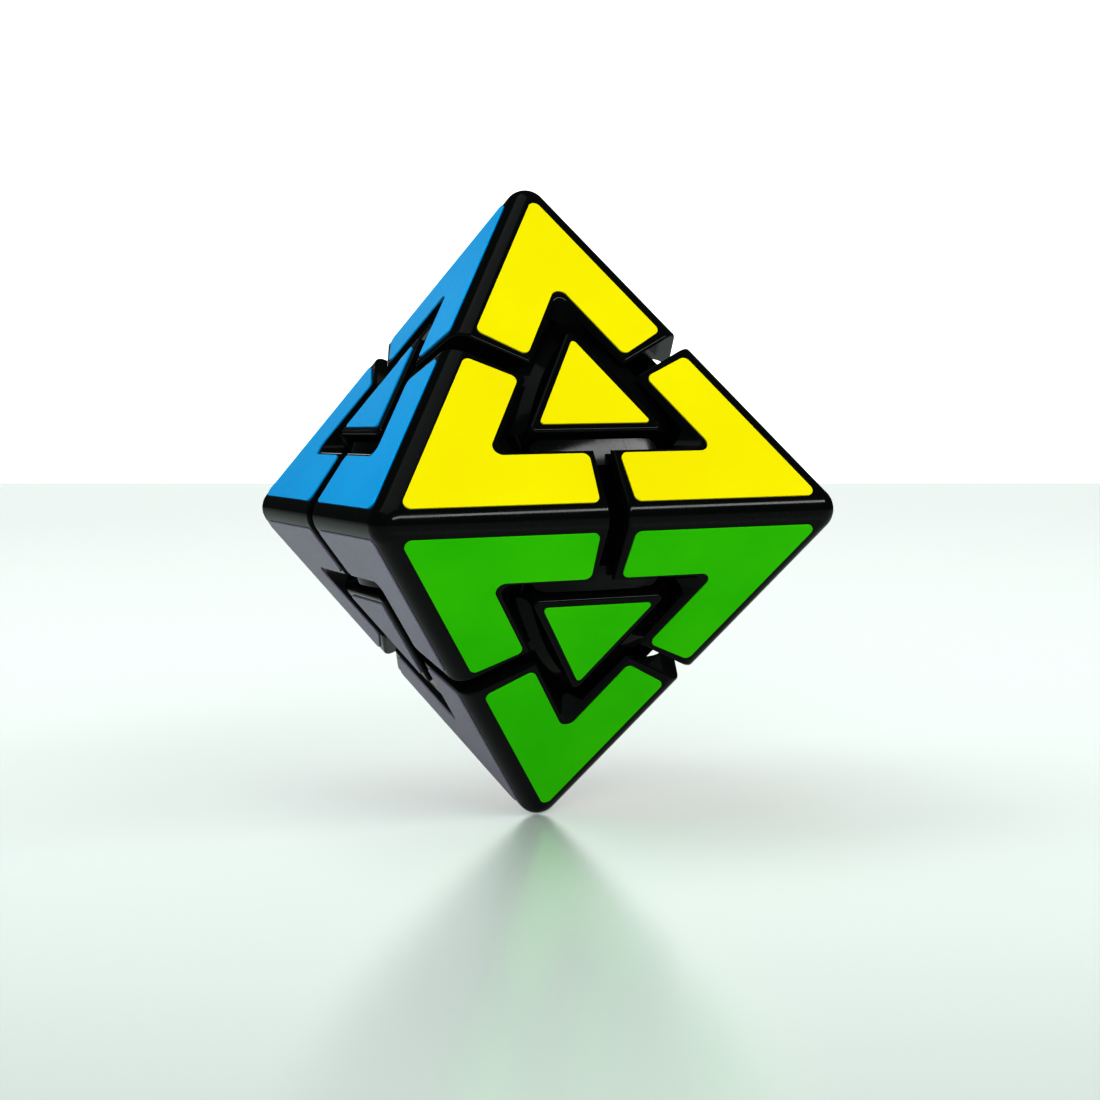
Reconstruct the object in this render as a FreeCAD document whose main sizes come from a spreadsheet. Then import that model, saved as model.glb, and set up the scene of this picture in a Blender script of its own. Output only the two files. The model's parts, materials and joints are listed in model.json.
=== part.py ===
import FreeCAD, Part
import math
import os

# Octahedral twisty puzzle: six corner pieces and eight triangular face pieces around a ball core.
# Millimetres. Origin at the centre, a corner on each end of X, Y and Z, +Z up, front corner on -Y.

doc = FreeCAD.newDocument("octahedron_puzzle")
sheet = doc.addObject("Spreadsheet::Sheet", "Dimensions")

DIMENSIONS = [
    # outer form
    ("half_diagonal", 47.0),
    ("edge_round", 3.2),
    ("groove_gap", 2.56),
    ("pocket_wall", 8.46),
    ("pocket_round", 1.8),
    ("rim_round", 0.4),
    # turning layers
    ("run_clear", 0.3),
    ("layer_floor", 6.58),
    ("tab_radius", 27.1),
    ("tab_root", 14.0),
    ("sweep_drum", 26.3),
    ("tab_top", 9.92),
    ("tab_half_width", 9.2),
    ("tab_round", 2.0),
    ("sweep_low", 8.46),
    ("sweep_wide", 11.06),
    ("sweep_wide_radius", 27.25),
    ("sweep_middle", 17.8),
    ("sweep_middle_radius", 21.15),
    ("sweep_high", 25.0),
    ("sweep_high_radius", 15.6),
    # triangular face pieces
    ("cap_inradius", 5.64),
    ("cap_depth", 1.8),
    ("cap_round", 0.45),
    ("cap_corner_round", 0.8),
    ("peg_radius", 2.0),
    ("peg_length", 1.0),
    # core
    ("ball_radius", 15.5),
    ("ball_wall", 2.6),
    ("ball_gap", 0.25),
    ("arm_radius", 3.4),
    ("arm_reach", 19.5),
    ("hub_radius", 6.5),
    ("fit_gap", 0.05),
    # corner stems, screws and springs
    ("stem_half_width", 6.28),
    ("stem_round", 0.8),
    ("stem_top", 31.0),
    ("stem_seat_low", 19.8),
    ("stem_seat_high", 22.3),
    ("spring_bore", 4.6),
    ("screw_radius", 1.5),
    ("screw_hole", 1.7),
    ("screw_tip", 11.0),
    ("head_radius", 3.0),
    ("head_height", 1.8),
    ("slot_width", 0.7),
    ("slot_depth", 0.9),
    ("washer_outer", 4.2),
    ("washer_thickness", 0.6),
    ("washer_seat", 28.2),
    ("spring_mean_radius", 2.9),
    ("spring_wire", 0.35),
    ("spring_turns", 4.5),
    # stickers
    ("sticker_thickness", 0.2),
    ("chevron_margin", 2.33),
    ("chevron_inner", 9.29),
    ("chevron_end", 2.34),
    ("chevron_tilt", 2.6),
    ("chevron_round", 0.95),
    ("chevron_inner_round", 1.3),
    ("triangle_inradius", 4.6),
    ("triangle_round", 0.45),
]
for row, (alias, number) in enumerate(DIMENSIONS, start=1):
    sheet.set("A%d" % row, alias)
    sheet.set("B%d" % row, str(number))
    sheet.setAlias("B%d" % row, alias)
doc.recompute()

VECTOR = FreeCAD.Vector
NO_TURN = FreeCAD.Rotation()


def size(alias):
    """Current value of one spreadsheet dimension."""
    return float(sheet.get(alias))


def expression(text):
    """Write a formula of spreadsheet words as a FreeCAD expression."""
    words = sorted((alias for alias, _ in DIMENSIONS), key=len, reverse=True)
    pieces = text.replace("(", " ( ").replace(")", " ) ").split()
    return " ".join("Dimensions." + piece if piece in words else piece for piece in pieces)


def bound(kind, name, formulas, placement=None):
    """Add one object and bind its properties to the spreadsheet."""
    item = doc.addObject(kind, name)
    for prop, formula in formulas.items():
        item.setExpression(prop, expression(formula))
    if placement is not None:
        item.Placement = placement
    return item


def moved(x, y, z, rotation=NO_TURN):
    return FreeCAD.Placement(VECTOR(x, y, z), rotation)


def box(name, length, width, height, placement):
    return bound("Part::Box", name, {"Length": length, "Width": width, "Height": height}, placement)


def cylinder(name, radius, height, placement=None):
    return bound("Part::Cylinder", name, {"Radius": radius, "Height": height}, placement)


def sphere(name, radius):
    return bound("Part::Sphere", name, {"Radius": radius})


def fuse(name, shapes):
    item = doc.addObject("Part::MultiFuse", name)
    item.Shapes = shapes
    return item


def common(name, shapes):
    item = doc.addObject("Part::MultiCommon", name)
    item.Shapes = shapes
    return item


def cut(name, base, tool):
    item = doc.addObject("Part::Cut", name)
    item.Base = base
    item.Tool = tool
    return item


def compound(name, links, placement=None):
    item = doc.addObject("Part::Compound", name)
    item.Links = links
    if placement is not None:
        item.Placement = placement
    return item


def fillet(name, base, radius, wanted):
    """Round the edges of base for which wanted(edge) is true."""
    doc.recompute()
    item = doc.addObject("Part::Fillet", name)
    item.Base = base
    picked = [i for i, edge in enumerate(base.Shape.Edges, start=1) if wanted(edge)]
    item.Edges = [(i, radius, radius) for i in picked]
    return item


def runs_along(edge, axis):
    """True for a straight edge parallel to axis."""
    if not isinstance(edge.Curve, Part.Line):
        return False
    return abs(edge.Curve.Direction.dot(axis)) > 0.9999


def upright_edges(edge):
    return runs_along(edge, AXIS_Z)


def turn(axis, degrees):
    return FreeCAD.Rotation(axis, degrees)


AXIS_X = VECTOR(1, 0, 0)
AXIS_Y = VECTOR(0, 1, 0)
AXIS_Z = VECTOR(0, 0, 1)

# Rotations that carry the +Z corner to each of the six corners.
CORNERS = {
    "top": NO_TURN,
    "bottom": turn(AXIS_X, 180),
    "right": turn(AXIS_Y, 90),
    "left": turn(AXIS_Y, -90),
    "front": turn(AXIS_X, 90),
    "back": turn(AXIS_X, -90),
}

# The eight faces: name, signs of X, Y and Z.
FACES = [
    ("yellow", (1, -1, 1)),
    ("blue", (-1, -1, 1)),
    ("red", (1, 1, 1)),
    ("white", (-1, 1, 1)),
    ("green", (1, -1, -1)),
    ("grey", (-1, -1, -1)),
    ("orange", (1, 1, -1)),
    ("pink", (-1, 1, -1)),
]


# ---------------------------------------------------------------- rounded octahedron
def octahedron():
    """Octahedron shrunk by the rounding, then grown back with round edges and corners."""
    reach = "(half_diagonal - 1.7320508 * edge_round)"
    halves = []
    for name, tilt in (("octahedron_upper", 90), ("octahedron_lower", -90)):
        wedge = doc.addObject("Part::Wedge", name)
        formulas = {
            "Xmin": "0 - %s * 0.70710678" % reach,
            "Xmax": "%s * 0.70710678" % reach,
            "Zmin": "0 - %s * 0.70710678" % reach,
            "Zmax": "%s * 0.70710678" % reach,
            "Ymin": "0",
            "Ymax": reach,
            "X2min": "0",
            "X2max": "0",
            "Z2min": "0",
            "Z2max": "0",
        }
        for prop, formula in formulas.items():
            wedge.setExpression(prop, expression(formula))
        wedge.Placement = moved(0, 0, 0, turn(AXIS_Z, 45) * turn(AXIS_X, tilt))
        halves.append(wedge)
    joined = fuse("octahedron_sharp", halves)
    joined.Refine = True
    grown = doc.addObject("Part::Offset", "octahedron_round")
    grown.Source = joined
    grown.setExpression("Value", expression("edge_round"))
    grown.Mode = "Skin"
    grown.Join = "Arc"
    return grown


outer_form = octahedron()


# ---------------------------------------------------------------- shared tool shapes
def half_space(name, rotation, shift_axis, offset):
    """Large block leaning at 45 degrees, its lowest edge at height offset above the centre."""
    block = box(name, "120", "120", "120", moved(0, 0, 0, rotation))
    block.setExpression("Placement.Base." + shift_axis, "-60")
    block.setExpression("Placement.Base.z", expression(offset))
    return block


def pocket():
    """One triangular pocket: a cube corner with rounded edges, opening along (1, 1, 1)."""
    block = box("pocket_block", "half_diagonal", "half_diagonal", "half_diagonal", moved(0, 0, 0))
    for axis in "xyz":
        block.setExpression("Placement.Base." + axis, expression("pocket_wall"))
    corner = VECTOR(size("pocket_wall"), size("pocket_wall"), size("pocket_wall"))

    def meets_corner(edge):
        return any(v.Point.distanceToPoint(corner) < 0.01 for v in edge.Vertexes)

    return fillet("pocket_rounded", block, size("pocket_round"), meets_corner)


def layer_sweep():
    """Space swept about +X by the four face pieces of one turning layer, with clearance."""
    steps = [
        ("layer_floor - run_clear", "sweep_drum"),
        ("sweep_low", "sweep_drum + 0.001"),
        ("sweep_wide", "sweep_wide_radius"),
        ("sweep_middle", "sweep_middle_radius"),
        ("sweep_high", "sweep_high_radius"),
    ]
    cones = []
    for i, ((start, radius), (end, end_radius)) in enumerate(zip(steps, steps[1:])):
        formulas = {
            "Radius1": radius + " + run_clear",
            "Radius2": end_radius + " + run_clear",
            "Height": "%s - ( %s )" % (end, start),
        }
        cone = bound("Part::Cone", "sweep_cone_%d" % i, formulas, moved(0, 0, 0, turn(AXIS_Y, 90)))
        cone.setExpression("Placement.Base.x", expression(start))
        cones.append(cone)
    return fuse("layer_sweep", cones)


def square_bar(name, extra, low, top):
    """Square bar along +Z, as wide as a corner stem plus extra all round."""
    half = "( stem_half_width + %s )" % extra
    block = box(name, "2 * " + half, "2 * " + half, "%s - %s" % (top, low), moved(0, 0, 0))
    for axis in "xy":
        block.setExpression("Placement.Base." + axis, expression("0 - " + half))
    block.setExpression("Placement.Base.z", expression(low))
    return block


def stem_block(name, extra, low, top):
    """Square bar along +Z with rounded edges."""
    bar = square_bar(name, extra, low, top)
    return fillet(name + "_rounded", bar, size("stem_round"), upright_edges)


def upright(name, radius, low, high):
    """Cylinder on the Z axis between two heights."""
    post = cylinder(name, radius, "%s - ( %s )" % (high, low), moved(0, 0, 0))
    post.setExpression("Placement.Base.z", expression(low))
    return post


def copies(name, base, placements):
    return [compound("%s_%d" % (name, i), [base], place) for i, place in enumerate(placements)]


def rotated(rotations):
    return [moved(0, 0, 0, rotation) for rotation in rotations]


NODES = []


def node(label, shapes, placement=None):
    """One exported sub-part."""
    item = compound(label, shapes, placement)
    item.Label = label
    NODES.append(item)
    return item


SWEEP = layer_sweep()
POCKET = pocket()
QUARTERS = [turn(AXIS_Z, 90 * i) for i in range(4)]


# ---------------------------------------------------------------- corner pieces
def corner_shell():
    """Top corner: square pyramid cap whose arms hang over the face pieces' tabs."""
    roof_x = half_space("groove_roof_x", turn(AXIS_X, 45), "x", "groove_gap * 0.70710678")
    roof_y = half_space("groove_roof_y", turn(AXIS_Y, -45), "y", "groove_gap * 0.70710678")
    blank = common("corner_blank", [outer_form, roof_x, roof_y])
    pockets = copies("corner_pocket", POCKET, rotated(QUARTERS))
    sweeps = copies("corner_sweep", SWEEP, rotated(QUARTERS))
    opened = cut("corner_opened", blank, fuse("corner_cutters", pockets + sweeps))
    doc.recompute()
    skin = outer_form.Shape.Shells[0]

    def outer(face):
        return all(skin.distToShape(Part.Vertex(v.Point))[0] < 0.001 for v in face.Vertexes)

    def on_rim(edge):
        sides = [outer(face) for face in opened.Shape.ancestorsOfType(edge, Part.Face)]
        return sorted(sides) == [False, True]

    rimmed = fillet("corner_rimmed", opened, size("rim_round"), on_rim)
    neck = square_bar("socket_mouth", "fit_gap", "0", "sweep_drum")
    bar = stem_block("socket_bar", "fit_gap", "0", "stem_top + fit_gap")
    return cut("corner_shell", rimmed, fuse("socket", [neck, bar]))


def corner_stem():
    """Square stem under the top corner, bored for the core arm, the screw and the spring."""
    bar = stem_block("stem_bar", "0", "layer_floor", "stem_top")
    bores = [
        sphere("stem_ball_clearance", "ball_radius + ball_gap"),
        upright("stem_arm_bore", "arm_radius + 2 * fit_gap", "0", "stem_seat_low"),
        upright("stem_screw_bore", "screw_hole", "0", "stem_top"),
        upright("stem_spring_bore", "spring_bore", "stem_seat_high", "stem_top + 1"),
    ]
    return cut("corner_stem", bar, fuse("stem_bores", bores))


SHELL = corner_shell()
STEM = corner_stem()
for corner, rotation in CORNERS.items():
    node("corner_shell_" + corner, [SHELL], moved(0, 0, 0, rotation))
    node("corner_stem_" + corner, [STEM], moved(0, 0, 0, rotation))


# ---------------------------------------------------------------- face pieces
def facing(signs, toward):
    """Placement on one octahedron face: Z along its normal, Y towards one of its corners."""
    normal = VECTOR(*signs).normalize()
    along = (toward - normal * normal.dot(toward)).normalize()
    height = size("half_diagonal") / math.sqrt(3)
    return FreeCAD.Placement(normal * height, FreeCAD.Rotation(VECTOR(), along, normal, "ZYX"))


def triangle_prism(name, inradius, height, low="0"):
    """Triangular prism along Z with one corner towards +Y."""
    formulas = {"Circumradius": "2 * ( %s )" % inradius, "Height": height}
    prism = bound("Part::Prism", name, formulas, moved(0, 0, 0, turn(AXIS_Z, 90)))
    prism.Polygon = 3
    prism.setExpression("Placement.Base.z", expression(low))
    return prism


def face_tab():
    """Tab below the +X side of a face piece, its outer face part of a ball about the centre."""
    outward = VECTOR(0, 1, 1).normalize()
    across = AXIS_X.cross(outward)
    frame = FreeCAD.Rotation(outward, across, AXIS_X, "ZXY")
    plate = box("tab_plate", "tab_radius", "2 * tab_half_width", "tab_top - layer_floor", None)
    corner = outward * size("tab_root") - across * size("tab_half_width") + AXIS_X * size("layer_floor")
    plate.Placement = FreeCAD.Placement(corner, frame)

    def top_end(edge):
        return runs_along(edge, outward) and edge.Vertexes[0].X > size("tab_top") - 0.01

    rounded = fillet("tab_plate_rounded", plate, size("tab_round"), top_end)
    return common("tab", [sphere("tab_ball", "tab_radius"), rounded])


def face_piece():
    """Cap and foot of the face piece between +X, +Y and +Z."""
    home = facing((1, 1, 1), AXIS_Z)
    depth = "( half_diagonal * 0.57735027 )"
    column = triangle_prism("face_column", "cap_inradius", depth, "0 - " + depth)
    column_round = fillet("face_column_round", column, size("cap_corner_round"), upright_edges)
    bar = compound("face_bar", [column_round], home)

    lid = triangle_prism("face_lid", "cap_inradius", "cap_depth", "0 - cap_depth")
    lid_round = fillet("face_lid_round", lid, size("cap_corner_round"), upright_edges)

    def at_top(edge):
        return all(abs(v.Z) < 0.001 for v in edge.Vertexes)

    lid_rim = fillet("face_lid_rim", lid_round, size("cap_round"), at_top)
    peg_end = "peg_length + fit_gap - cap_depth"
    hole = upright("face_peg_hole", "peg_radius + fit_gap", "0 - cap_depth", peg_end)
    cap = compound("face_cap", [cut("face_cap_flat", lid_rim, hole)], home)

    thirds = [moved(0, 0, 0, turn(VECTOR(1, 1, 1), 120 * i)) for i in range(3)]
    tabs = copies("face_tab", face_tab(), thirds)
    octant = box("face_octant", "half_diagonal", "half_diagonal", "half_diagonal", moved(0, 0, 0))
    for axis in "xyz":
        octant.setExpression("Placement.Base." + axis, expression("layer_floor"))
    body = common("face_foot_body", [fuse("face_foot_blank", [bar] + tabs), octant])
    seat = triangle_prism("face_cap_seat", "cap_inradius + fit_gap", "cap_depth + 1", "0 - cap_depth")
    seat_home = compound("face_cap_seat_home", [seat], home)
    ball = sphere("foot_ball", "ball_radius + ball_gap")
    trimmed = cut("face_foot_trimmed", body, fuse("face_away", [seat_home, ball]))
    peg = upright("face_peg", "peg_radius", "0 - cap_depth - 1", "peg_length - cap_depth")
    foot = fuse("face_foot", [trimmed, compound("face_peg_home", [peg], home)])
    return cap, foot


def face_turn(signs):
    """Rotation that carries the (1, 1, 1) face to another face, keeping Z corners on Z."""
    flip = NO_TURN if signs[2] > 0 else turn(VECTOR(1, 1, 0), 180)
    start = flip.multVec(VECTOR(1, 1, 1))
    angle = math.degrees(math.atan2(signs[1], signs[0]) - math.atan2(start.y, start.x))
    return turn(AXIS_Z, round(angle)) * flip


CAP, FOOT = face_piece()
for colour, signs in FACES:
    place = moved(0, 0, 0, face_turn(signs))
    node("face_cap_" + colour, [CAP], place)
    node("face_foot_" + colour, [FOOT], place)


# ---------------------------------------------------------------- core, screws and springs
def six_of(name, base):
    """One copy of an upright shape on each of the six half axes."""
    six = []
    for corner, way in CORNERS.items():
        six.append(compound(name + "_" + corner, [base], moved(0, 0, 0, way)))
    return six


def core():
    """Six-armed core and the two half shells of the ball round it."""
    arm = upright("arm", "arm_radius", "0", "arm_reach")
    hole = upright("arm_hole", "screw_radius + 0.02", "screw_tip - 1", "arm_reach + 1")
    star = fuse("core_star", six_of("arm", arm) + [sphere("core_hub", "hub_radius")])
    node("core_arms", [cut("core_arms_solid", star, fuse("core_holes", six_of("arm_hole", hole)))])

    outside = sphere("ball_outside", "ball_radius")
    hollow = cut("ball_hollow", outside, sphere("ball_inside", "ball_radius - ball_wall"))
    window = upright("ball_window", "arm_radius + fit_gap", "0", "arm_reach + 1")
    drilled = cut("ball_drilled", hollow, fuse("ball_windows", six_of("ball_window", window)))
    for name, height in (("upper", "fit_gap / 2"), ("lower", "0 - fit_gap / 2 - 40")):
        block = box("ball_half_" + name, "40", "40", "40", moved(-20, -20, 0))
        block.setExpression("Placement.Base.z", expression(height))
        node("core_ball_" + name, [common("ball_%s_solid" % name, [drilled, block])])


core()


def screw():
    """Pan head screw with a cross slot, on the +Z arm."""
    seat = "washer_seat + washer_thickness"
    shank = upright("screw_shank", "screw_radius", "screw_tip", seat + " + 0.1")
    head = upright("screw_head", "head_radius", seat, seat + " + head_height")
    solid = fuse("screw_blank", [shank, head])
    floor = seat + " + head_height - slot_depth"
    slots = []
    for i, (length, width) in enumerate((("3.6", "slot_width"), ("slot_width", "3.6"))):
        slot = box("screw_slot_%d" % i, length, width, "slot_depth + 1", moved(0, 0, 0))
        slot.setExpression("Placement.Base.x", expression("0 - %s / 2" % length))
        slot.setExpression("Placement.Base.y", expression("0 - %s / 2" % width))
        slot.setExpression("Placement.Base.z", expression(floor))
        slots.append(slot)
    return cut("screw", solid, fuse("screw_slots", slots))


def washer():
    disc = upright("washer_disc", "washer_outer", "washer_seat", "washer_seat + washer_thickness")
    hole = upright("washer_hole", "screw_hole", "washer_seat - 1", "washer_seat + washer_thickness + 1")
    return cut("washer", disc, hole)


def spring():
    """Compression spring between the stem's seat and the washer."""
    travel = "washer_seat - stem_seat_high - 2 * spring_wire - 2 * fit_gap"
    coil = {"Radius": "spring_mean_radius", "Height": travel}
    path = bound("Part::Helix", "spring_path", coil, moved(0, 0, 0))
    path.setExpression("Pitch", expression("( %s ) / spring_turns" % travel))
    path.setExpression("Placement.Base.z", expression("stem_seat_high + spring_wire + fit_gap"))
    standing = moved(0, 0, 0, turn(AXIS_X, 90))
    section = bound("Part::Circle", "spring_section", {"Radius": "spring_wire"}, standing)
    section.setExpression("Placement.Base.x", expression("spring_mean_radius"))
    section.setExpression("Placement.Base.z", expression("stem_seat_high + spring_wire + fit_gap"))
    doc.recompute()
    wire = doc.addObject("Part::Sweep", "spring")
    wire.Sections = [section]
    wire.Spine = (path, ["Edge%d" % (i + 1) for i in range(len(path.Shape.Edges))])
    wire.Solid = True
    wire.Frenet = True
    return wire


for name, maker in (("screws", screw), ("washers", washer), ("springs", spring)):
    node(name, six_of(name + "_of", maker()))


# ---------------------------------------------------------------- stickers
def chevron():
    """V-shaped sticker of a corner piece on one face, its point towards +Y."""
    thickness = "sticker_thickness"
    reach = "half_diagonal * 0.40824829 - chevron_margin"
    outline = triangle_prism("chevron_outline", reach, thickness)
    inside = triangle_prism("chevron_inside", "chevron_inner", thickness + " * 3", "0 - " + thickness)
    middle = (size("chevron_inner") + size("half_diagonal") / math.sqrt(6) - size("chevron_margin")) / 2
    sides = []
    for side in (1, -1):
        radial = VECTOR(side * math.cos(math.radians(30)), math.sin(math.radians(30)), 0)
        inward = VECTOR(-side * math.sin(math.radians(30)), math.cos(math.radians(30)), 0)
        edge = turn(AXIS_Z, side * size("chevron_tilt")).multVec(radial)
        start = radial * middle + inward * size("chevron_end") - edge * 50
        frame = FreeCAD.Rotation(edge, AXIS_Z.cross(edge), AXIS_Z, "ZXY")
        corner = start if side > 0 else start - AXIS_Z.cross(edge) * 100
        place = FreeCAD.Placement(corner, frame)
        sides.append(box("chevron_side_%d" % (side + 1), "100", "100", thickness, place))
    sharp = cut("chevron_sharp", common("chevron_blank", [outline] + sides), inside)

    def at_notch(edge):
        return upright_edges(edge) and abs(edge.Vertexes[0].X) < 0.01 and edge.Vertexes[0].Y < 20

    def at_ends(edge):
        return upright_edges(edge) and not at_notch(edge)

    ends = fillet("chevron_ends", sharp, size("chevron_round"), at_ends)
    return fillet("chevron", ends, size("chevron_inner_round"), at_notch)


def triangle():
    flat = triangle_prism("triangle_flat", "triangle_inradius", "sticker_thickness")
    return fillet("triangle", flat, size("triangle_round"), upright_edges)


CHEVRON = chevron()
TRIANGLE = triangle()
for colour, signs in FACES:
    pole = AXIS_Z * signs[2]
    pole_name = "top" if signs[2] > 0 else "bottom"
    sides = [facing(signs, AXIS_X * signs[0]), facing(signs, AXIS_Y * signs[1])]
    node("sticker_%s_%s" % (colour, pole_name), [CHEVRON], facing(signs, pole))
    node("sticker_%s_sides" % colour, copies("sticker_%s_side" % colour, CHEVRON, sides))
    node("sticker_%s_triangle" % colour, [TRIANGLE], facing(signs, pole))


# ---------------------------------------------------------------- check and write
doc.recompute()
for item in doc.Objects:
    if "Invalid" in item.State or "Error" in item.State:
        raise RuntimeError("object failed: " + item.Name)
os.makedirs("parts", exist_ok=True)
for item in NODES:
    if item.Shape.isNull() or not item.Shape.isValid():
        raise RuntimeError("bad shape: " + item.Label)
    item.Shape.exportStep("parts/%s.step" % item.Label)
print(len(NODES), "parts written")
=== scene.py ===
import json
import math

import bpy
from mathutils import Matrix, Vector


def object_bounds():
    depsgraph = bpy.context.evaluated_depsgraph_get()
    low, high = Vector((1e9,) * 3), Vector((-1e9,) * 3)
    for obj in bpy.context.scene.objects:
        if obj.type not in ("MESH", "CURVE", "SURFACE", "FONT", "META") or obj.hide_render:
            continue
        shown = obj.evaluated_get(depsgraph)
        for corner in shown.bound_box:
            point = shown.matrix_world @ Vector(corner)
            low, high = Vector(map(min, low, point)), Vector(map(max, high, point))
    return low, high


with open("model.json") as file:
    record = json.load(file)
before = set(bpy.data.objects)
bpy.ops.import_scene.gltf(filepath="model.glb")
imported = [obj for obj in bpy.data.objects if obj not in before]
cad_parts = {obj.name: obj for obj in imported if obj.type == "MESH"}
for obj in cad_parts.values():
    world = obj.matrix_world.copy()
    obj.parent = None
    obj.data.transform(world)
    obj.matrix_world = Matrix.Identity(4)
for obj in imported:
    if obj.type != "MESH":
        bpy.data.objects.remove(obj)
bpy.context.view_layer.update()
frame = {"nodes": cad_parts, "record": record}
low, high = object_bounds()
centre = (low + high) / 2
scene = bpy.context.scene

# Lengths are in metres, named angles in degrees and light powers in watts, except where a comment
# gives another unit.
WHITE = (1, 1, 1, 1)


# ---------------------------------------------------------------- node helpers
def new_material(name):
    material = bpy.data.materials.new(name)
    material.use_nodes = True
    return material, material.node_tree.nodes["Principled BSDF"]


def object_coordinates(tree):
    for node in tree.nodes:
        if node.bl_idname == "ShaderNodeTexCoord":
            return node.outputs["Object"]
    return tree.nodes.new("ShaderNodeTexCoord").outputs["Object"]


def streaked(tree, scale, angle):
    """Object coordinates scaled by axis and turned by radians, so that noise runs in streaks."""
    node = tree.nodes.new("ShaderNodeMapping")
    node.inputs["Scale"].default_value = scale
    node.inputs["Rotation"].default_value = angle
    tree.links.new(object_coordinates(tree), node.inputs["Vector"])
    return node.outputs["Vector"]


def noise(tree, scale, detail, coordinates=None):
    """Noise in object coordinates, or in the coordinates that are given."""
    node = tree.nodes.new("ShaderNodeTexNoise")
    node.inputs["Scale"].default_value = scale
    node.inputs["Detail"].default_value = detail
    tree.links.new(coordinates or object_coordinates(tree), node.inputs["Vector"])
    return node.outputs["Fac"]


def spread(tree, value, between, onto=(0, 1)):
    """Map one stretch of a value onto a range, and hold it at the ends of that range."""
    node = tree.nodes.new("ShaderNodeMapRange")
    node.clamp = True
    for sockets, numbers in ((("From Min", "From Max"), between), (("To Min", "To Max"), onto)):
        for socket, number in zip(sockets, numbers):
            node.inputs[socket].default_value = number
    tree.links.new(value, node.inputs["Value"])
    return node.outputs["Result"]


def add(tree, first, second):
    node = tree.nodes.new("ShaderNodeMath")
    node.operation = "ADD"
    tree.links.new(first, node.inputs[0])
    tree.links.new(second, node.inputs[1])
    return node.outputs[0]


def two_colours(tree, factor, first, second):
    node = tree.nodes.new("ShaderNodeMix")
    node.data_type = "RGBA"
    node.inputs["A"].default_value = (*first, 1)
    node.inputs["B"].default_value = (*second, 1)
    tree.links.new(factor, node.inputs["Factor"])
    return node.outputs["Result"]


def bumped(tree, shader, height, strength, distance):
    node = tree.nodes.new("ShaderNodeBump")
    node.inputs["Strength"].default_value = strength
    node.inputs["Distance"].default_value = distance
    tree.links.new(height, node.inputs["Height"])
    tree.links.new(node.outputs["Normal"], shader.inputs["Normal"])


# ---------------------------------------------------------------- materials
# Stretches of a noise pattern: most of it lies in the band, and only its peaks reach the others.
NOISE_BAND = (0.3, 0.7)
CLOUD_BAND = (0.35, 0.7)
DUST_PEAKS = (0.62, 0.8)
SCUFF_PEAKS = (0.6, 0.75)
SCRATCH_PEAKS = (0.55, 0.8)
RUB_PEAKS = (0.62, 0.78)

# Bump heights.
FLOW_WAVE = 0.00004
SURFACE_GRAIN = 0.00002


def moulded_plastic(name, colour, paler, rough):
    """Black moulded plastic: a slow flow waviness, fine handling scratches, a little dust."""
    material, shader = new_material(name)
    tree = material.node_tree
    blotch = noise(tree, scale=90, detail=3)
    dust = noise(tree, scale=2600, detail=2)
    streaks = streaked(tree, scale=(1, 9, 1), angle=(0.4, 0.2, 0.9))
    scratch = noise(tree, scale=700, detail=2, coordinates=streaks)

    tint = two_colours(tree, spread(tree, dust, DUST_PEAKS), colour, paler)
    tree.links.new(tint, shader.inputs["Base Color"])
    even = spread(tree, blotch, NOISE_BAND, onto=(rough - 0.04, rough + 0.05))
    scuffed = spread(tree, scratch, SCUFF_PEAKS, onto=(0, 0.1))
    tree.links.new(add(tree, even, scuffed), shader.inputs["Roughness"])
    shader.inputs["IOR"].default_value = 1.5
    shader.inputs["Specular IOR Level"].default_value = 0.2
    height = add(tree, blotch, spread(tree, scratch, SCRATCH_PEAKS, onto=(0, 0.12)))
    bumped(tree, shader, height, strength=0.25, distance=FLOW_WAVE)
    return material


def vinyl(name, colour, shade, gloss):
    """Coloured vinyl sticker: smooth gloss film with faint orange peel and light rubbing."""
    material, shader = new_material(name)
    tree = material.node_tree
    tone = noise(tree, scale=55, detail=2)
    peel = noise(tree, scale=1500, detail=2)
    streaks = streaked(tree, scale=(1, 6, 2), angle=(0.8, 0.3, 0.1))
    rub = noise(tree, scale=420, detail=3, coordinates=streaks)

    tint = two_colours(tree, spread(tree, tone, NOISE_BAND), colour, shade)
    tree.links.new(tint, shader.inputs["Base Color"])
    even = spread(tree, peel, NOISE_BAND, onto=(0.3, 0.36))
    rubbed = spread(tree, rub, RUB_PEAKS, onto=(0, 0.12))
    tree.links.new(add(tree, even, rubbed), shader.inputs["Roughness"])
    shader.inputs["IOR"].default_value = 1.47
    shader.inputs["Specular IOR Level"].default_value = gloss
    bumped(tree, shader, peel, strength=0.12, distance=SURFACE_GRAIN)
    return material


def metal(name, colour, rough):
    """Steel with fine marks across its Z axis and slightly darker clouds."""
    material, shader = new_material(name)
    tree = material.node_tree
    streaks = streaked(tree, scale=(1, 1, 14), angle=(0, 0, 0))
    marks = noise(tree, scale=2500, detail=2, coordinates=streaks)
    cloud = noise(tree, scale=240, detail=3)
    darker = tuple(0.7 * channel for channel in colour)

    tint = two_colours(tree, spread(tree, cloud, CLOUD_BAND), colour, darker)
    tree.links.new(tint, shader.inputs["Base Color"])
    worn = spread(tree, marks, NOISE_BAND, onto=(rough - 0.08, rough + 0.12))
    tree.links.new(worn, shader.inputs["Roughness"])
    shader.inputs["Metallic"].default_value = 1.0
    bumped(tree, shader, marks, strength=0.3, distance=SURFACE_GRAIN)
    return material


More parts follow.
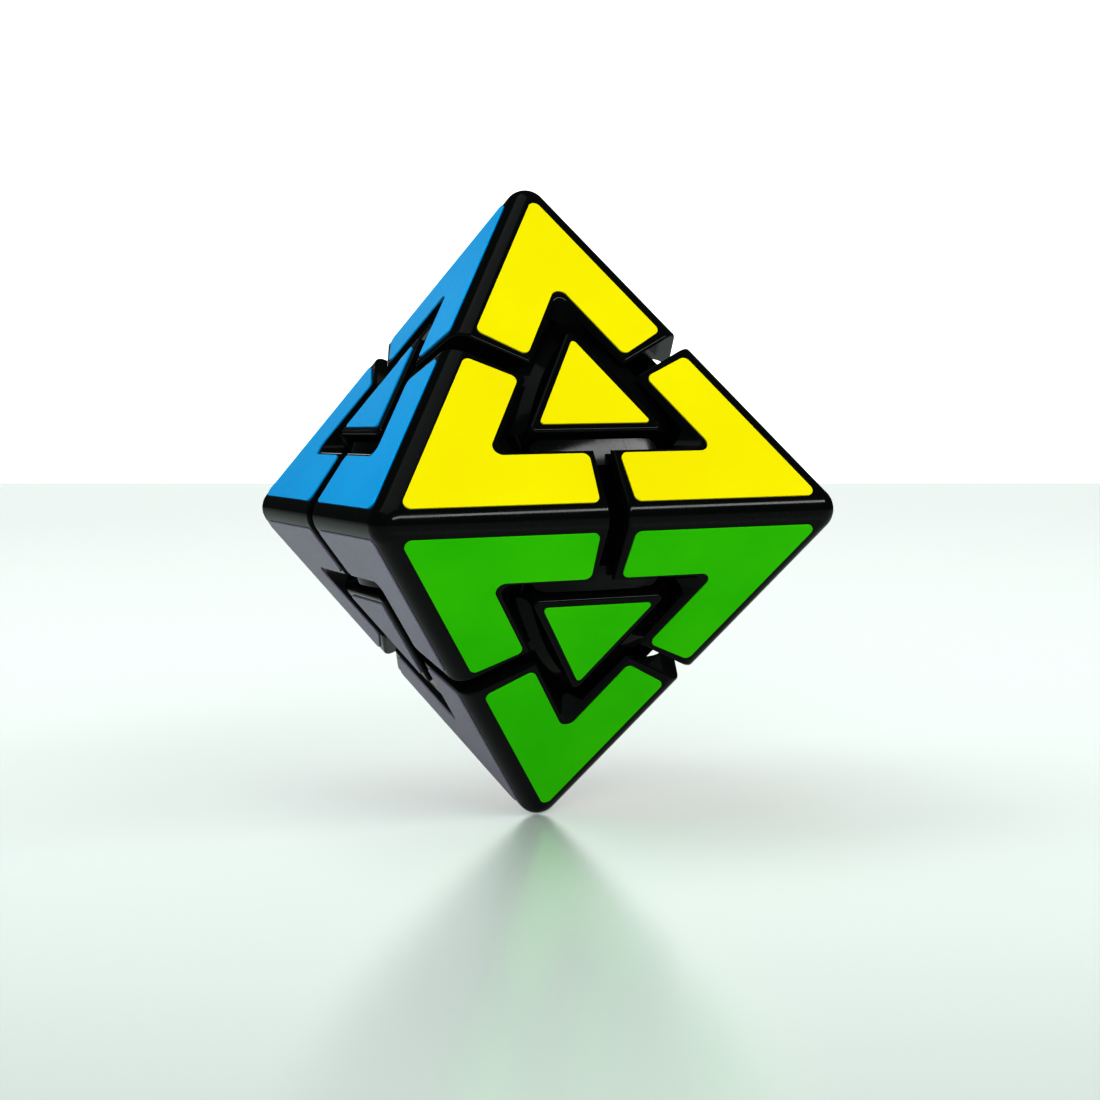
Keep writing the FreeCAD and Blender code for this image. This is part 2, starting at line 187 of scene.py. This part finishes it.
# Each sticker's colour, and the shade it drifts to in places.
STICKERS = {
    "yellow": ((0.49, 0.455, 0.0), (0.475, 0.425, 0.0)),
    "blue": ((0.0, 0.305, 0.62), (0.0, 0.28, 0.58)),
    "red": ((0.72, 0.012, 0.015), (0.66, 0.008, 0.012)),
    "white": ((0.66, 0.67, 0.68), (0.62, 0.63, 0.64)),
    "green": ((0.050, 0.455, 0.0), (0.028, 0.40, 0.0)),
    "grey": ((0.245, 0.225, 0.30), (0.215, 0.195, 0.265)),
    "orange": ((0.92, 0.17, 0.004), (0.88, 0.14, 0.002)),
    "pink": ((0.86, 0.10, 0.32), (0.80, 0.08, 0.28)),
}
STICKER_GLOSS = 0.08
GREY_GLOSS = 0.4  # the grey stickers reflect the floor more than the rest

# The plastic's colour, and the colour of the dust on it.
GLOSS_BLACK = ((0.0035, 0.004, 0.004), (0.009, 0.010, 0.010))
SATIN_BLACK = ((0.012, 0.012, 0.013), (0.03, 0.03, 0.03))
PLATED_STEEL = (0.62, 0.62, 0.60)
SPRING_WIRE = (0.42, 0.43, 0.45)

finishes = {
    "black_plastic": moulded_plastic("black_gloss_plastic", *GLOSS_BLACK, rough=0.11),
    "core_plastic": moulded_plastic("black_satin_plastic", *SATIN_BLACK, rough=0.4),
    "screw_steel": metal("plated_steel", PLATED_STEEL, rough=0.28),
    "spring_steel": metal("spring_wire", SPRING_WIRE, rough=0.3),
}
for colour, (base, shade) in STICKERS.items():
    gloss = GREY_GLOSS if colour == "grey" else STICKER_GLOSS
    finishes["sticker_" + colour] = vinyl("vinyl_" + colour, base, shade, gloss)

for part in frame["record"]["subparts"]:
    body = frame["nodes"][part["node"]]
    body.data.materials.clear()
    body.data.materials.append(finishes[part["material_slot"]])


# ---------------------------------------------------------------- floor and backdrop
CAMERA_BEARING = 24.5
forward_part = math.cos(math.radians(CAMERA_BEARING))
side_part = math.sin(math.radians(CAMERA_BEARING))
TOWARD_CAMERA = Vector((side_part, -forward_part, 0))
ACROSS = Vector((forward_part, side_part, 0))

FLOOR_GAP = 0.0002
FLOOR_HALF_WIDTH = 3
FLOOR_FRONT = -1
# The floor's far edge is nearer on the right, which brings it level in the picture although the
# camera is rolled a little.
FLOOR_FAR_LEFT = 3.12
FLOOR_FAR_RIGHT = -0.11

BACKDROP_DEPTH = 3.4
BACKDROP_HALF_WIDTH = 1.4
BACKDROP_BOTTOM = -1
BACKDROP_TOP = 1.2


def stage_place(across, depth, height):
    """Point on the stage: across to the camera's right, depth away from the camera."""
    point = ACROSS * across - TOWARD_CAMERA * depth
    return (point.x, point.y, height)


def stage_plane(name, corners, material):
    mesh = bpy.data.meshes.new(name)
    mesh.from_pydata(corners, [], [(0, 1, 2, 3)])
    plane = bpy.data.objects.new(name, mesh)
    scene.collection.objects.link(plane)
    mesh.materials.append(material)


def floor_finish():
    """Pale floor, glossy enough to mirror the lower tip softly."""
    material, shader = new_material("pale_gloss_floor")
    shader.inputs["Base Color"].default_value = (0.450, 0.494, 0.473, 1)
    shader.inputs["Roughness"].default_value = 0.22
    shader.inputs["IOR"].default_value = 1.45
    return material


def backdrop_finish():
    """White board that glows a little, which the floor reflects."""
    material, shader = new_material("white_backdrop")
    shader.inputs["Base Color"].default_value = WHITE
    shader.inputs["Emission Color"].default_value = (0.96, 1, 0.98, 1)
    shader.inputs["Emission Strength"].default_value = 0.8
    return material


floor_edges = [
    (-FLOOR_HALF_WIDTH, FLOOR_FRONT),
    (FLOOR_HALF_WIDTH, FLOOR_FRONT),
    (FLOOR_HALF_WIDTH, FLOOR_FAR_RIGHT),
    (-FLOOR_HALF_WIDTH, FLOOR_FAR_LEFT),
]
floor_z = low.z - FLOOR_GAP
floor_corners = [stage_place(across, depth, floor_z) for across, depth in floor_edges]
stage_plane("floor", floor_corners, floor_finish())

backdrop_edges = [
    (-BACKDROP_HALF_WIDTH, BACKDROP_BOTTOM),
    (BACKDROP_HALF_WIDTH, BACKDROP_BOTTOM),
    (BACKDROP_HALF_WIDTH, BACKDROP_TOP),
    (-BACKDROP_HALF_WIDTH, BACKDROP_TOP),
]
backdrop_corners = [
    stage_place(across, BACKDROP_DEPTH, height) for across, height in backdrop_edges
]
stage_plane("backdrop", backdrop_corners, backdrop_finish())

# ---------------------------------------------------------------- room light
# The camera sees white, diffuse rays get a soft fill, and gloss reflects a dark room.
SEEN_STRENGTH = 1.1
ROOM_COLOUR = (0.92, 1.0, 0.97, 1)
ROOM_GLOSS = 0.03
ROOM_FILL = 0.3

world = bpy.data.worlds.new("studio")
scene.world = world
world.use_nodes = True
world_nodes = world.node_tree.nodes
world_links = world.node_tree.links
seen = world_nodes["Background"]
seen.inputs["Color"].default_value = WHITE
seen.inputs["Strength"].default_value = SEEN_STRENGTH
room = world_nodes.new("ShaderNodeBackground")
room.inputs["Color"].default_value = ROOM_COLOUR
path = world_nodes.new("ShaderNodeLightPath")
diffuse_ray = path.outputs["Is Diffuse Ray"]
strength = spread(world.node_tree, diffuse_ray, (0, 1), onto=(ROOM_GLOSS, ROOM_FILL))
world_links.new(strength, room.inputs["Strength"])
blend = world_nodes.new("ShaderNodeMixShader")
world_links.new(path.outputs["Is Camera Ray"], blend.inputs["Fac"])
world_links.new(room.outputs["Background"], blend.inputs[1])
world_links.new(seen.outputs["Background"], blend.inputs[2])
world_links.new(blend.outputs["Shader"], world_nodes["World Output"].inputs["Surface"])


# ---------------------------------------------------------------- lights
def around(azimuth, elevation, distance):
    """Point at a bearing from the object: azimuth 0 in front on -Y, 90 on +X, degrees."""
    a, e = math.radians(azimuth), math.radians(elevation)
    bearing = Vector((math.sin(a) * math.cos(e), -math.cos(a) * math.cos(e), math.sin(e)))
    return centre + distance * bearing


def area_light(name, place, width, height, power, glossy):
    """Rectangular lamp aimed at the object. Without glossy, no reflection shows it."""
    data = bpy.data.lights.new(name, "AREA")
    data.shape = "RECTANGLE"
    data.size = width
    data.size_y = height
    data.energy = power
    lamp = bpy.data.objects.new(name, data)
    scene.collection.objects.link(lamp)
    lamp.location = place
    lamp.rotation_mode = "QUATERNION"
    lamp.rotation_quaternion = (centre - place).to_track_quat("-Z", "Y")
    lamp.visible_glossy = glossy


# Name, (azimuth, elevation, distance), width, height, power, glossy.
LIGHTS = [
    ("top_softbox", (-30, 72, 0.8), 0.7, 0.7, 0.9, True),
    ("top_fill", (-30, 72, 0.8), 0.7, 0.7, 1.8, False),
    ("right_strip", (68, 32, 0.6), 0.85, 0.09, 2.5, True),
    ("front_fill", (15, 20, 1.2), 0.5, 0.5, 4.5, False),
    ("left_fill", (-60, 45, 0.9), 0.5, 0.5, 2.4, False),
    ("low_fill", (40, -2, 1.1), 0.6, 0.12, 1.8, False),
]
for name, bearing, width, height, power, glossy in LIGHTS:
    area_light(name, around(*bearing), width, height, power, glossy)

# ---------------------------------------------------------------- camera
# The photograph's view. Its distances are in half diagonals of the solid, which run from the
# centre to a corner before rounding.
HALF_DIAGONAL = 0.047
CAMERA_PLACE = Vector((2.372, -5.208, 0.261)) * HALF_DIAGONAL
HEADING = 22.7800  # about the vertical
TILT = 82.5387  # up from looking straight down
ROLL = -0.9397  # about the line of sight
SENSOR_WIDTH = 36.0  # millimetres
FOCAL_LENGTH = 60.938  # millimetres
SHIFT_RIGHT = -0.03564  # in widths of the picture
SHIFT_UP = 0.10464  # in widths of the picture
NEAREST = 0.005
FARTHEST = 20.0


def turn(angle, axis):
    return Matrix.Rotation(math.radians(angle), 4, axis)


camera_data = bpy.data.cameras.new("camera")
camera = bpy.data.objects.new("camera", camera_data)
scene.collection.objects.link(camera)
scene.camera = camera
camera_data.sensor_width = SENSOR_WIDTH
camera_data.lens = FOCAL_LENGTH
camera_data.shift_x = SHIFT_RIGHT
camera_data.shift_y = SHIFT_UP
camera_data.clip_start = NEAREST
camera_data.clip_end = FARTHEST
aim = turn(HEADING, "Z") @ turn(TILT, "X") @ turn(ROLL, "Z")
camera.matrix_world = Matrix.Translation(CAMERA_PLACE) @ aim

scene.view_settings.view_transform = "Standard"
scene.view_settings.look = "High Contrast"
